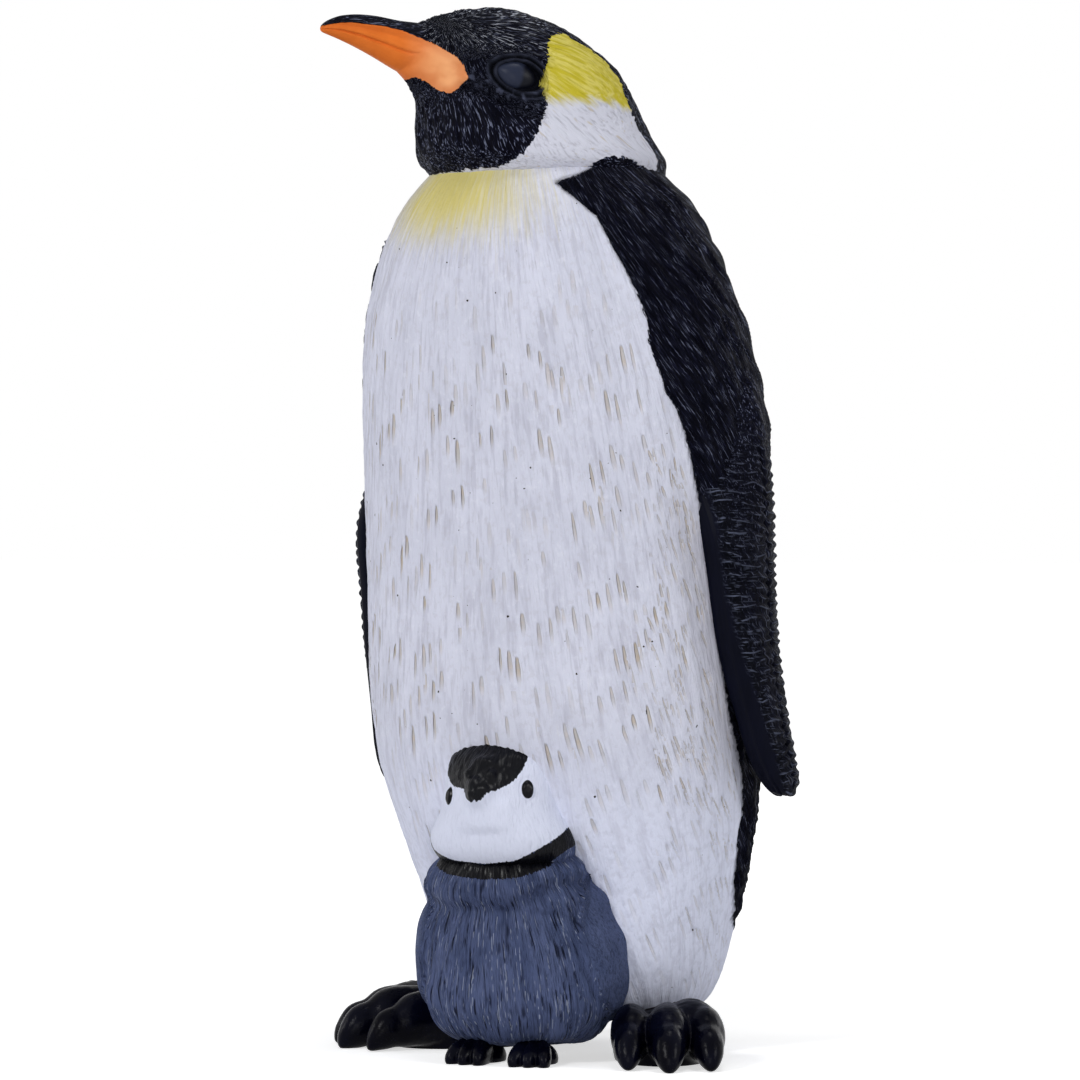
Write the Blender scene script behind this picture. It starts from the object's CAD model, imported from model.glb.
# %% [markdown]
# # A painted vinyl penguin with its chick
#
# The real object is a large soft-vinyl figure of an adult emperor penguin with a chick between its feet.
# Body and head are hollow mouldings, the thin pieces are plugged in, and the feathers are part of the mould.
# The paint is masked on afterwards, so every colour has a ragged edge that follows the feathers.
#
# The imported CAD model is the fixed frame: it says where each piece sits. This script builds the looks on it.

# %% Load the frame
import math

import bpy
import numpy as np
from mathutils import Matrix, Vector, noise


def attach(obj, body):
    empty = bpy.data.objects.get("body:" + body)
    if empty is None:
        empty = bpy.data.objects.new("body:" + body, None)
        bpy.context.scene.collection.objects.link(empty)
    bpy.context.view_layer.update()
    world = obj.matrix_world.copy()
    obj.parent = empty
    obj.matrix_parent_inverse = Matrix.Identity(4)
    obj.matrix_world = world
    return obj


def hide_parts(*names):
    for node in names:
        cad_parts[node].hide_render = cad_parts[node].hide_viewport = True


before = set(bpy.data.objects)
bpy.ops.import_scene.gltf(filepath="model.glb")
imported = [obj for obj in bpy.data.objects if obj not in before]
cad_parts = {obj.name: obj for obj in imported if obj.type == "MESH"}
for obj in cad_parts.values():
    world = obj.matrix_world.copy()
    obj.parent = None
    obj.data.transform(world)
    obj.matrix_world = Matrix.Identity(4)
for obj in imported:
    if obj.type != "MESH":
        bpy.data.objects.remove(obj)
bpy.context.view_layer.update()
mm = 0.001

# %% [markdown]
# ## Rings, drawn up station by station
#
# Most pieces of this figure are soft round forms, so each one starts as a ring of vertices.
# The ring is extruded from station to station and resized at each one, as by hand with E, G and S.
# A Subdivision Surface then rounds the coarse cage. That pulls it inwards, so the cage is first pushed out
# by what the rounding takes away.

# %% Ring forms


def deselect():
    if bpy.context.object and bpy.context.object.mode != "OBJECT":
        bpy.ops.object.mode_set(mode="OBJECT")
    bpy.ops.object.select_all(action="DESELECT")


def choose(piece):
    deselect()
    piece.select_set(True)
    bpy.context.view_layer.objects.active = piece


def cage_for(stations):
    """Stations for the cage whose subdivided surface passes through the given ones."""
    wanted = np.array(stations, float)
    cage = wanted.copy()
    for _ in range(12):
        reached = cage.copy()
        reached[1:-1] = (cage[:-2] + 4 * cage[1:-1] + cage[2:]) / 6
        cage += wanted - reached
    return cage


def apply_modifier(piece, kind, **settings):
    choose(piece)
    modifier = piece.modifiers.new(kind.title(), kind)
    for key, value in settings.items():
        setattr(modifier, key, value)
    bpy.ops.object.modifier_apply(modifier=modifier.name)


def subdivide(piece, levels):
    apply_modifier(piece, "SUBSURF", levels=levels, render_levels=levels)


def face_outwards():
    """Turns all faces of the mesh in Edit Mode outwards, and goes back to Object Mode."""
    bpy.ops.mesh.select_all(action="SELECT")
    bpy.ops.mesh.normals_make_consistent(inside=False)
    bpy.ops.object.mode_set(mode="OBJECT")


def upright(rows, back=0.0):
    """Stations of an upright form from rows of height, y, half width and half depth, set back alike."""
    return [(z, 0, y + back, wide, deep) for z, y, wide, deep in rows]


def ring_form(name, stations, sides, levels=4, lying=False, crowd=0.0):
    """A closed form from stations in millimetres: place along it, x, other, half width, half other size.

    An upright form runs up Z, and its other direction is Y. A lying one runs forward, and its other is Z.
    crowd draws the ring's points together at the front of an upright form, where the detail is finest.
    """
    cage = cage_for(stations) * mm
    spread = 6 / (4 + 2 * math.cos(2 * math.pi / sides))  # the rounding pulls each ring in as well

    def centre(row):
        return Vector((row[1], -row[0], row[2]) if lying else (row[1], row[2], row[0]))

    def sizes(row):
        wide, other = row[3] * spread, row[4] * spread
        return Vector((wide, 1, other) if lying else (wide, other, 1))

    deselect()
    turn = (math.pi / 2, 0, 0) if lying else (0, 0, 0)
    bpy.ops.mesh.primitive_circle_add(
        vertices=sides, radius=1, fill_type="NGON", location=(0, 0, 0), rotation=turn
    )
    piece = bpy.context.object
    piece.name = piece.data.name = name
    bpy.ops.object.transform_apply(location=True, rotation=True, scale=True)
    if crowd:
        for vertex in piece.data.vertices:
            angle = math.atan2(vertex.co.x, -vertex.co.y)
            angle -= crowd * math.sin(angle)
            vertex.co.x, vertex.co.y = math.sin(angle), -math.cos(angle)
    bpy.ops.object.mode_set(mode="EDIT")
    bpy.ops.mesh.select_all(action="SELECT")
    bpy.ops.transform.resize(value=sizes(cage[0]), center_override=(0, 0, 0))
    bpy.ops.transform.translate(value=centre(cage[0]))
    for last, row in zip(cage[:-1], cage[1:]):
        step = centre(row) - centre(last)
        bpy.ops.mesh.extrude_region_move(TRANSFORM_OT_translate={"value": step})
        ratio = [after / before for before, after in zip(sizes(last), sizes(row))]
        bpy.ops.transform.resize(value=ratio, center_override=centre(row))
    face_outwards()
    subdivide(piece, levels)
    bpy.ops.object.shade_smooth()
    print(name, "faces:", len(piece.data.polygons))
    return piece


# %% [markdown]
# ## Sculpting in code
#
# Feathers are too fine to pull one by one. The mesh is read as an array of points in millimetres,
# each point is moved along its normal by a height, and the array is written back.
# The heights come from smooth noise that is stretched along the lie of the feathers.

# %% Sculpting helpers


def read_vectors(piece, what):
    values = np.empty(len(piece.data.vertices) * 3, np.float32)
    piece.data.vertices.foreach_get(what, values)
    return values.reshape(-1, 3).astype(float)


def points_of(piece):
    return read_vectors(piece, "co") / mm


def normals_of(piece):
    return read_vectors(piece, "normal")


def set_points(piece, points):
    piece.data.vertices.foreach_set("co", (points * mm).ravel())
    piece.data.update()


def raise_by(piece, height):
    set_points(piece, points_of(piece) + normals_of(piece) * height[:, None])


def keep(piece, name, values, domain="POINT"):
    """Stores a number or a vector per vertex or per face, for the material to read. A face doesn't blend."""
    values = np.asarray(values, np.float32)
    kind, part = ("FLOAT", "value") if values.ndim == 1 else ("FLOAT_VECTOR", "vector")
    layer = piece.data.attributes.new(name, kind, domain)
    layer.data.foreach_set(part, values.ravel())


def grain(points, size, seed=0):
    """Smooth noise from -1 to 1, with features of the given sizes in millimetres."""
    scaled = points / np.asarray(size, float) + 17.3 * seed
    return np.array([noise.noise(Vector(p)) for p in scaled])


def columns(*values):
    return np.stack(values, axis=1)


def smooth(value, low, high):
    t = np.clip((value - low) / (high - low), 0, 1)
    return t * t * (3 - 2 * t)


def between(value, low, high, top, end):
    """Rises from 0 at low to 1 at high, and falls back from top to end."""
    return smooth(value, low, high) * (1 - smooth(value, top, end))


def bell(value, middle, width):
    return np.exp(-(((value - middle) / width) ** 2))


def hills(value, *shapes):
    """A sum of bells, each given as its height, middle and width."""
    return sum(height * bell(value, middle, width) for height, middle, width in shapes)


def blend(mask, inside, outside):
    """One value where the mask is 1 and the other where it is 0, for arrays and for paint alike."""
    return mask * inside + (1 - mask) * outside


def read_off(rows, at, *wanted):
    """The wanted columns of a table, read between its rows at each value of its first column."""
    table = np.array(sorted(rows), float)
    return [np.interp(at, table[:, 0], table[:, column]) for column in wanted]


def far_from_line(points, line):
    """Distance of each flat point from an open line of points."""
    px, py = points.T
    nearest = np.full(len(points), 1e9)
    for (ax, ay), (bx, by) in zip(line[:-1], line[1:]):
        ex, ey = bx - ax, by - ay
        t = np.clip(((px - ax) * ex + (py - ay) * ey) / (ex * ex + ey * ey), 0, 1)
        nearest = np.minimum(nearest, np.hypot(px - ax - t * ex, py - ay - t * ey))
    return nearest


def inside_by(points, outline):
    """How far inside a closed outline each flat point lies, in millimetres; negative outside."""
    px, py = points.T
    within = np.zeros(len(points), bool)
    closed = [*outline, outline[0]]
    for (ax, ay), (bx, by) in zip(closed[:-1], closed[1:]):
        if ay != by:
            within ^= ((ay > py) != (by > py)) & (px < ax + (py - ay) / (by - ay) * (bx - ax))
    nearest = far_from_line(points, closed)
    return np.where(within, nearest, -nearest)


# %% [markdown]
# ## Paint, written as arithmetic
#
# A material is a sheet of nodes. Wrapping a socket in a small class lets the masks and the bump be
# written as sums, and the class adds the Math nodes behind them.

# %% A socket that does arithmetic


class Wire:
    def __init__(self, sheet, socket):
        self.sheet = sheet
        self.socket = socket

    def math(self, operation, *values):
        inputs = dict(enumerate(values))
        return self.sheet.node("ShaderNodeMath", "Value", {"operation": operation}, inputs)

    def __add__(self, other):
        return self.math("ADD", self, other)

    __radd__ = __add__

    def __mul__(self, other):
        return self.math("MULTIPLY", self, other)

    __rmul__ = __mul__

    def __sub__(self, other):
        return self.math("SUBTRACT", self, other)

    def __rsub__(self, other):
        return self.math("SUBTRACT", other, self)

    def __truediv__(self, other):
        return self.math("DIVIDE", self, other)

    def __abs__(self):
        return self.math("ABSOLUTE", self)


class Sheet:
    """The node sheet of one material, or of the world."""

    def __init__(self, name, world=False):
        kinds = bpy.data.worlds if world else bpy.data.materials
        self.owner = kinds.new(name)
        self.owner.use_nodes = True
        self.tree = self.owner.node_tree
        self.tree.nodes.clear()

    def node(self, kind, output, settings=None, inputs=None):
        """Adds a node. Its settings come first, then the values or links of its sockets."""
        made = self.tree.nodes.new(kind)
        for key, value in (settings or {}).items():
            setattr(made, key, value)
        for key, value in (inputs or {}).items():
            socket = self.socket(made.inputs, key)
            if isinstance(value, Wire):
                self.tree.links.new(value.socket, socket)
            else:
                socket.default_value = value
        return Wire(self, self.socket(made.outputs, output)) if output else made

    @staticmethod
    def socket(sockets, key):
        if isinstance(key, int):
            return sockets[key]
        for socket in sockets:
            if socket.identifier == key:
                return socket
        return sockets[key]

    def kept(self, name, output="Fac"):
        return self.node("ShaderNodeAttribute", output, {"attribute_name": name})

    def kept_parts(self, name):
        """The three numbers of a kept vector."""
        vector = {"Vector": self.kept(name, "Vector")}
        split = self.node("ShaderNodeSeparateXYZ", None, {}, vector)
        return [Wire(self, socket) for socket in split.outputs]

    def position(self):
        return self.node("ShaderNodeTexCoord", "Object")

    def noise(self, vector, sizes, detail=2.0, rough=0.5):
        """Noise with a feature size along each axis of the vector."""
        scale = {0: vector, 1: tuple(1 / size for size in sizes)}
        scaled = self.node("ShaderNodeVectorMath", "Vector", {"operation": "MULTIPLY"}, scale)
        inputs = {"Vector": scaled, "Scale": 1.0, "Detail": detail, "Roughness": rough}
        return self.node("ShaderNodeTexNoise", "Fac", {}, inputs)

    def step(self, value, low, high):
        """Rises smoothly from 0 at low to 1 at high."""
        inputs = {"Value": value, "From Min": low, "From Max": high}
        settings = {"interpolation_type": "SMOOTHSTEP"}
        return self.node("ShaderNodeMapRange", "Result", settings, inputs)

    def mix(self, factor, first, second):
        inputs = {"Factor_Float": factor, "A_Color": first, "B_Color": second}
        return self.node("ShaderNodeMix", "Result_Color", {"data_type": "RGBA"}, inputs)

    def over(self, color, *layers):
        """A colour with layers painted over it, each given as its amount and its own colour."""
        for amount, paint in layers:
            color = self.mix(amount, color, paint)
        return color

    def covered(self, layer, jag, soft=0.07):
        """A paint area from the distance kept for it. Its edge is made ragged by jag, in millimetres."""
        return self.step(self.kept(layer) + jag, -soft, soft)

    def seen_plainly(self):
        """1 for the rays that meet a plain background: the camera's own, mirrored and let through."""
        kinds = ("Is Camera Ray", "Is Glossy Ray", "Is Transmission Ray")
        camera, mirrored, through = (self.node("ShaderNodeLightPath", kind) for kind in kinds)
        return camera + mirrored + through

    def finish(self, color, roughness, height, depth_mm, mirror=0.035, coat=0.0):
        """The painted surface with its bump. mirror is a plain low shine; coat is a link or a number."""
        bump = {"Height": height, "Distance": depth_mm * mm, "Strength": 1.0}
        inputs = {
            "Base Color": color,
            "Roughness": roughness,
            "Normal": self.node("ShaderNodeBump", "Normal", {}, bump),
            "Coat Weight": coat,
            "Coat Roughness": 0.22,
            "Specular IOR Level": mirror,
        }
        shader = self.node("ShaderNodeBsdfPrincipled", "BSDF", {}, inputs)
        self.node("ShaderNodeOutputMaterial", None, {}, {"Surface": shader})
        return self.owner


def tint(red, green, blue):
    """A colour as measured from 0 to 255, in the linear values that sockets take."""
    linear = []
    for part in (red, green, blue):
        c = part / 255
        linear.append(c / 12.92 if c <= 0.04045 else ((c + 0.055) / 1.055) ** 2.4)
    return (*linear, 1.0)


# %% [markdown]
# ## Camera, floor and light
#
# The photograph was taken with a long lens, level with the middle of the figure and 35 degrees round
# its left side. The floor is pale. To the camera it is almost white, and it still takes the shadow.

# %% Camera

view_turn = math.radians(35)
view_distance = 1.1
view_height = 117.7 * mm
frame_height = 248.3 * mm  # what the picture spans at the figure's distance
aside = 3.7 * mm  # the figure stands a little to the right of the picture's middle

to_right = Vector((math.cos(view_turn), math.sin(view_turn), 0))
to_camera = Vector((math.sin(view_turn), -math.cos(view_turn), 0))
lens_view = bpy.data.cameras.new("camera")
sensor_width = lens_view.sensor_width = 36
lens_view.lens = sensor_width * view_distance / frame_height
camera = bpy.data.objects.new("camera", lens_view)
bpy.context.collection.objects.link(camera)
camera.location = to_camera * view_distance - to_right * aside + Vector((0, 0, view_height))
camera.rotation_euler = (math.pi / 2, 0, view_turn)
bpy.context.scene.camera = camera
print("lens", round(lens_view.lens, 1), "mm")

# %% Floor and light

scene = bpy.context.scene
scene.view_settings.view_transform = "Standard"
deselect()
bpy.ops.mesh.primitive_plane_add(size=40, location=(0, 0, 0))
floor = bpy.context.object
floor.name = "floor"
sheet = Sheet("pale_floor")
matt = sheet.node("ShaderNodeBsdfDiffuse", "BSDF", {}, {"Color": (0.8, 0.8, 0.8, 1)})
away = sheet.node("ShaderNodeVectorMath", "Value", {"operation": "LENGTH"}, {0: sheet.position()})
shine = sheet.mix(sheet.step(away, 0.1, 0.6), (0.6, 0.6, 0.6, 1), (0.97, 0.97, 0.97, 1))
glow = sheet.node("ShaderNodeEmission", "Emission", {}, {"Color": shine, "Strength": 1.0})
lit = sheet.node("ShaderNodeAddShader", "Shader", {}, {0: matt, 1: glow})
both = sheet.node("ShaderNodeMixShader", "Shader", {}, {"Fac": sheet.seen_plainly(), 1: matt, 2: lit})
sheet.node("ShaderNodeOutputMaterial", None, {}, {"Surface": both})
floor.data.materials.append(sheet.owner)

studio = Sheet("studio", world=True)
dim, bright = (
    studio.node("ShaderNodeBackground", "Background", {}, {"Color": color, "Strength": strength})
    for color, strength in (((0.92, 0.95, 1.0, 1), 0.14), ((1, 1, 1, 1), 1.0))
)
seen_or_not = {"Fac": studio.seen_plainly(), 1: dim, 2: bright}
seen = studio.node("ShaderNodeMixShader", "Shader", {}, seen_or_not)
studio.node("ShaderNodeOutputWorld", None, {}, {"Surface": seen})
scene.world = studio.owner


def softbox(name, across, up, toward, size, power):
    """A square lamp at a place seen from the camera: to its right, up, and towards it."""
    light = bpy.data.lights.new(name, "AREA")
    light.shape = "SQUARE"
    light.size = size
    light.energy = power
    lamp = bpy.data.objects.new(name, light)
    bpy.context.collection.objects.link(lamp)
    lamp.location = to_right * across + to_camera * toward + Vector((0, 0, up))
    aim = Vector((0, 0, 0.12)) - lamp.location
    lamp.rotation_euler = aim.to_track_quat("-Z", "Y").to_euler()


softbox("key_light", -0.75, 0.75, 0.95, 0.30, 7.6)
softbox("fill_light", 0.95, 0.55, 0.65, 0.35, 4.2)
softbox("low_light", -0.1, 0.15, 1.3, 0.5, 2.4)
softbox("top_light", 0.1, 1.1, 0.1, 0.3, 2.4)
softbox("left_light", -1.1, 0.4, -0.2, 0.35, 2.2)
softbox("back_light", 0.9, 0.5, -0.8, 0.35, 1.4)

# %% [markdown]
# ## The adult's body
#
# The real body is one hollow vinyl moulding, tall and egg-shaped, with a soft crease below the head.
# A sphere pulled long would give the egg but not the shoulders, so the body is extruded ring by ring.
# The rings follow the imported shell. Their points are crowded towards the belly, where the finest marks are.

# %% Body form
set_back = 3.45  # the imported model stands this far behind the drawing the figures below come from

# height, centre, half width, half depth
body_rows = [
    (7.5, 10.0, 23.0, 18.0), (14, 9.2, 31.2, 25.0), (28, 7.6, 36.8, 29.4), (43, 5.7, 41.1, 32.8),
    (59, 2.7, 45.2, 36.1), (75, 0.4, 47.5, 38.0), (91, 0.0, 48.0, 38.5), (107, -0.1, 48.4, 38.7),
    (123, -0.2, 48.9, 39.0), (139, -0.6, 49.3, 39.5), (154, -1.8, 48.5, 38.8), (168, -4.0, 46.4, 37.0),
    (180, -6.0, 42.3, 34.0), (190, -7.0, 37.2, 30.9), (199, -7.2, 30.0, 26.7), (208, -7.0, 20.0, 20.5),
]  # fmt: skip
body = ring_form("body", upright(body_rows, set_back), sides=24, crowd=0.35)

# %% [markdown]
# ## Where things are on the body
#
# The feathers, the grooves and the paint all need the same two numbers for a point:
# its height, and how far round it is from the middle of the belly.

# %% Height and turn of each point


def around(piece, rows, back=0.0):
    """The points of an upright form, and how far round from the middle of its front each one lies."""
    points = points_of(piece)
    middle, wide, deep = read_off(rows, points[:, 2], 1, 2, 3)
    return points, np.arctan2(points[:, 0] / wide, -(points[:, 1] - middle - back) / deep)


body_points, body_turn = around(body, body_rows, set_back)
body_height = body_points[:, 2]
body_round = np.degrees(np.abs(body_turn))
body_side = np.sign(body_points[:, 0])
body_radius = sum(read_off(body_rows, body_height, 2, 3)) / 2
body_across = body_turn * body_radius
print("girth at the belly:", round(2 * math.pi * float(body_radius.max())), "mm")

# %% [markdown]
# ## The paint line between belly and back
#
# The black starts as a point at the front of each shoulder, runs down behind the flipper, and ends above
# the feet. It is kept as a distance from the line, so the material can give it a crisp ragged edge.

# %% Distance into the black
flat_radius = 44.0  # the body is unrolled as if it were a cylinder of this radius
flank_edge = [
    (52.6, 179), (54, 175), (55, 172), (56, 168), (56.6, 165), (56, 161), (57, 158), (58.4, 154),
    (59.4, 150.5), (62.7, 147), (64, 143.5), (67, 135), (71, 122), (75, 108), (79, 94), (84, 78),
    (92, 66), (95, 58), (94.5, 50), (96, 42), (98.5, 36), (101, 32), (118, 28), (140, 20),
    (165, 8), (215, -10), (215, 240),
]  # fmt: skip
near_shoulder = [(75, 240), (66, 204), (54.4, 201.2), (46.6, 199.6), (35, 197.6), (43.4, 193),
                 (48, 190), (49.5, 186), (51, 182)]  # fmt: skip
# The head looks towards the figure's right, so the white of the neck reaches further round there.
far_shoulder = [(150, 240), (140, 204), (128, 201.5), (108, 199.4), (84, 196.5), (71, 192),
                (63, 187), (59, 182)]  # fmt: skip


def unrolled(outline, back=0, radius=flat_radius):
    """An outline in degrees and heights, laid flat in millimetres."""
    return [(math.radians(degrees + back) * radius, z) for degrees, z in outline]


flat_places = columns(np.radians(body_round) * flat_radius, body_height)
near_black = inside_by(flat_places, unrolled(near_shoulder) + unrolled(flank_edge))
far_black = inside_by(flat_places, unrolled(far_shoulder) + unrolled(flank_edge, back=5))
body_black = np.where(body_side > 0, near_black, far_black)
black_part = smooth(body_black, -0.6, 0.6)
keep(body, "black_by", body_black)

# %% [markdown]
# ## Mantle, nest and feathers
#
# Low down the back feathers lie over the belly and end in a raised edge. Behind the chick the belly draws
# back. Belly feathers are long soft strands, and back feathers short tufts that sweep away from the front.

# %% Mantle and nest
mantle = 1.2 * between(body_round, 94, 103, 106, 117) * between(body_height, 30, 34, 78, 118)
nest = 6.0 * (1 - smooth(body_round, 14, 46)) * between(body_height, 7.5, 26, 34, 54)
nape = 1.2 * smooth(body_round, 85, 135) * bell(body_height, 192.5, 4.5)
shoulder = 1.7 * smooth(body_round, 95, 122) * bell(body_height, 141, 11)
raise_by(body, mantle + nape + shoulder - nest)

# %% The lie of the feathers
towards_spine = np.clip((180 - body_round) / 80, 0, 1)
belly_sweep = 0.10 * smooth(body_round, 0, 25) + 0.14 * smooth(body_round, 30, 65)
swept = (body_height - 110) * belly_sweep + (body_height - 150) * 0.5 * black_part
lie_round = np.abs(body_turn) + swept * towards_spine / flat_radius
body_lie = columns(
    flat_radius * np.cos(lie_round) + 7 * body_side * black_part,
    flat_radius * np.sin(lie_round) * np.where(body_side < 0, -1, 1),
    body_height,
)
keep(body, "lie", body_lie)

# %% Tufts and strands
tufts = grain(body_lie, (2.2, 2.2, 8), 1) * 0.8 + grain(body_lie, (1.3, 1.3, 5), 2) * 0.6
tufts += grain(body_lie, (8, 8, 11), 3) * 0.6
swell = grain(body_lie, (13, 13, 26), 4) * 0.4 + grain(body_lie, (3.0, 3.0, 12), 5) * 0.26
strands = grain(body_lie, (1.25, 1.25, 7), 6) * 0.22
below_seam = 1 - smooth(body_height, 196, 202)
raise_by(body, blend(black_part, tufts, swell + strands) * (0.3 + 0.7 * below_seam))

# %% [markdown]
# ## The grooves between belly feathers
#
# All over the belly there are small pressed teardrops, up to four together, sharp at the top and fading
# out at the bottom. A wash of thin beige paint sits in them. They are real dents here, and each face also
# keeps the drop that it lies in, so the paint can draw it as sharply.

# %% Belly grooves
row_gap = 10.7
drop_gap = 7.6
dice = np.random.RandomState(7)
drops = []  # across, top, length, half width, lean, depth
for row in range(16):
    row_top = 181 - row * row_gap
    shift = dice.uniform(0, 9)
    for spot in np.arange(-92, 92, drop_gap):
        lead = spot + shift + dice.uniform(-2.0, 2.0)
        peak = row_top + dice.uniform(-4.5, 4.5)
        strength = 0.25 + 0.75 * dice.rand() ** 1.2
        for step in range(dice.randint(1, 5)):
            across = lead + step * dice.uniform(1.9, 2.8)
            top = peak + step * dice.uniform(0.6, 2.6) * (1 if dice.rand() < 0.8 else -1)
            lean = 0.03 + 0.24 * min(abs(across) / 55, 1) * np.sign(across)
            drops.append((across, top, dice.uniform(4.5, 9.5), dice.uniform(0.33, 0.62), lean,
                          strength * dice.uniform(0.5, 1.0)))  # fmt: skip

# The flanks beside the flippers are creased more closely.
for side in (-1, 1):
    for crease in range(220):
        drops.append((side * dice.uniform(40, 68), dice.uniform(48, 138), dice.uniform(3.5, 8),
                      dice.uniform(0.28, 0.5), side * dice.uniform(0.15, 0.45),
                      dice.uniform(0.2, 0.75)))  # fmt: skip
print("grooves:", len(drops))

# %% Dents


def white_and_clear(black_by, height):
    """How strong the grooves are: none in the black or at the foot, and faint under the throat."""
    return smooth(-black_by, 0.8, 3) * smooth(height, 8, 24) * (1 - 0.75 * smooth(height, 165, 180))


def near_drop(all_across, all_height, drop):
    """The places near a drop, their share of the way down it, and their distance from its middle line."""
    across, top, length, _, lean, _ = drop
    beside = np.abs(all_across - across) < 5  # no drop reaches further
    near = np.nonzero(beside & (np.abs(all_height - top + length / 2) < length))[0]
    down = (top - all_height[near]) / length
    return near, down, all_across[near] - across - lean * down * length


groove = np.zeros(len(body_points))
for drop in drops:
    half, depth = drop[3], drop[5]
    near, down, off = near_drop(body_across, body_height, drop)
    leaf = 0.4 + 2.4 * np.clip(down * (1 - down), 0, 1)  # widest halfway down
    inner = 1 - smooth(np.abs(off / (half * leaf + 0.25)), 0.4, 1.2)
    groove[near] = np.maximum(groove[near], inner * between(down, 0, 0.08, 0.45, 1) * depth)
raise_by(body, -0.5 * groove * white_and_clear(body_black, body_height))

# %% The drop of each face
corners = np.empty(len(body.data.polygons) * 4, np.int32)
body.data.polygons.foreach_get("vertices", corners)
corners = corners.reshape(-1, 4)
face_across, face_height, face_black = (
    values[corners].mean(axis=1) for values in (body_across, body_height, body_black)
)
closest = np.zeros(len(face_height))
drop_place = np.zeros((len(face_height), 3))
drop_size = np.zeros((len(face_height), 3)) + (1, 1, 0)
for drop in drops:
    across, top, length, half, lean, depth = drop
    near, down, off = near_drop(face_across, face_height, drop)
    reach = (1 - np.abs(off) / (half + 0.9)) * depth
    best = (reach > closest[near]) & (down > -0.15) & (down < 1.1)
    won = near[best]
    closest[won] = reach[best]
    drop_place[won] = (across, top, lean)
    drop_size[won] = (length, half, depth)
fainter_low = 0.45 + 0.55 * smooth(face_height, 40, 72)
drop_size[:, 2] *= white_and_clear(face_black, face_height) * fainter_low
keep(body, "unrolled", columns(body_across, body_height, np.zeros(len(groove))))
keep(body, "drop_place", drop_place, "FACE")
keep(body, "drop_size", drop_size, "FACE")

# The yellow spray is strongest just beside the middle of the upper chest.
spray_turn = np.degrees(body_turn) + 14
keep(body, "yellow", bell(spray_turn, 0, 44) * smooth(body_height, 176, 196))
# Close to the flipper the belly is creased and shaded by a thin grey wash.
keep(body, "shaded", bell(body_black, -1, 8) * between(body_height, 52, 66, 112, 140))

# %% [markdown]
# ## Body paint
#
# Matt white vinyl, with a beige wash in the grooves and a breath of yellow sprayed under the throat.
# The black is matt too. Only the crests of its short strands catch small lights, so these are painted
# as glints, and they are smoother than what lies round them.

# %% Black plumage


def feather_black(sheet, lie, size=1.0, shine=0.0):
    """The black plumage: its colour, roughness and bump height."""
    fine = sheet.noise(lie, (0.27 * size, 0.27 * size, 2.8 * size), 1.0)
    broad = sheet.noise(lie, (1.1 * size, 1.1 * size, 4.0 * size))
    strands = fine * 0.75 + broad * 0.25
    glint = sheet.step(strands + shine, 0.605, 0.655)
    color = sheet.over(
        tint(1, 1, 9),
        (sheet.step(broad, 0.3, 0.7), tint(4, 5, 16)),
        (sheet.step(strands, 0.49, 0.58) * 0.6, tint(32, 34, 55)),
        (glint * 0.8, tint(112, 118, 140)),
    )
    return color, 0.6 - 0.34 * glint, (fine + broad) * 0.9


# %% The wash in the grooves


def groove_masks(sheet, across, height):
    """Where the wash lies in the grooves, and the dark left edge and bright right ridge of each one."""
    drop_across, drop_top, drop_lean = sheet.kept_parts("drop_place")
    drop_length, drop_half, drop_depth = sheet.kept_parts("drop_size")
    fallen = drop_top - height
    down = fallen / drop_length
    leaf = down * (1 - down) * 2.4 + 0.4
    off = (across - drop_across - drop_lean * fallen) / (drop_half * leaf)
    along = sheet.step(down, 0.0, 0.10) * sheet.step(down, 0.98, 0.35) * drop_depth
    pressed = sheet.step(abs(off), 1.05, 0.55) * along
    left_edge = sheet.step(off, -1.2, -0.95) * sheet.step(off, -0.55, -0.85) * along
    right_ridge = sheet.step(off, 0.85, 1.1) * sheet.step(off, 1.7, 1.25) * along
    return pressed, left_edge, right_ridge


# %% Body paint
coat = Sheet("coat_paint")
lie_wire = coat.kept("lie", "Vector")
across_wire, height_wire, _ = coat.kept_parts("unrolled")
pressed, left_edge, right_ridge = groove_masks(coat, across_wire, height_wire)
strand = coat.noise(lie_wire, (0.55, 0.55, 6), rough=0.6)
streak = coat.noise(lie_wire, (1.4, 1.4, 10), rough=0.55)
drift = coat.noise(lie_wire, (9, 9, 18), 1.0)
blotch = coat.noise(lie_wire, (0.8, 0.8, 8), 3.0, 0.6)
mottle = coat.noise(coat.position(), (0.0016, 0.0016, 0.0020), 3.0, 0.6)
speck = coat.noise(coat.position(), (0.0011, 0.0011, 0.0011), 0.0)
low_down = coat.step(height_wire, 80, 42)
wash = coat.mix(coat.step(mottle, 0.42, 0.60), tint(180, 172, 158), tint(187, 167, 136))
yellow = coat.step(coat.kept("yellow") + (blotch - 0.5) * 0.9, 0.10, 1.05)
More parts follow.
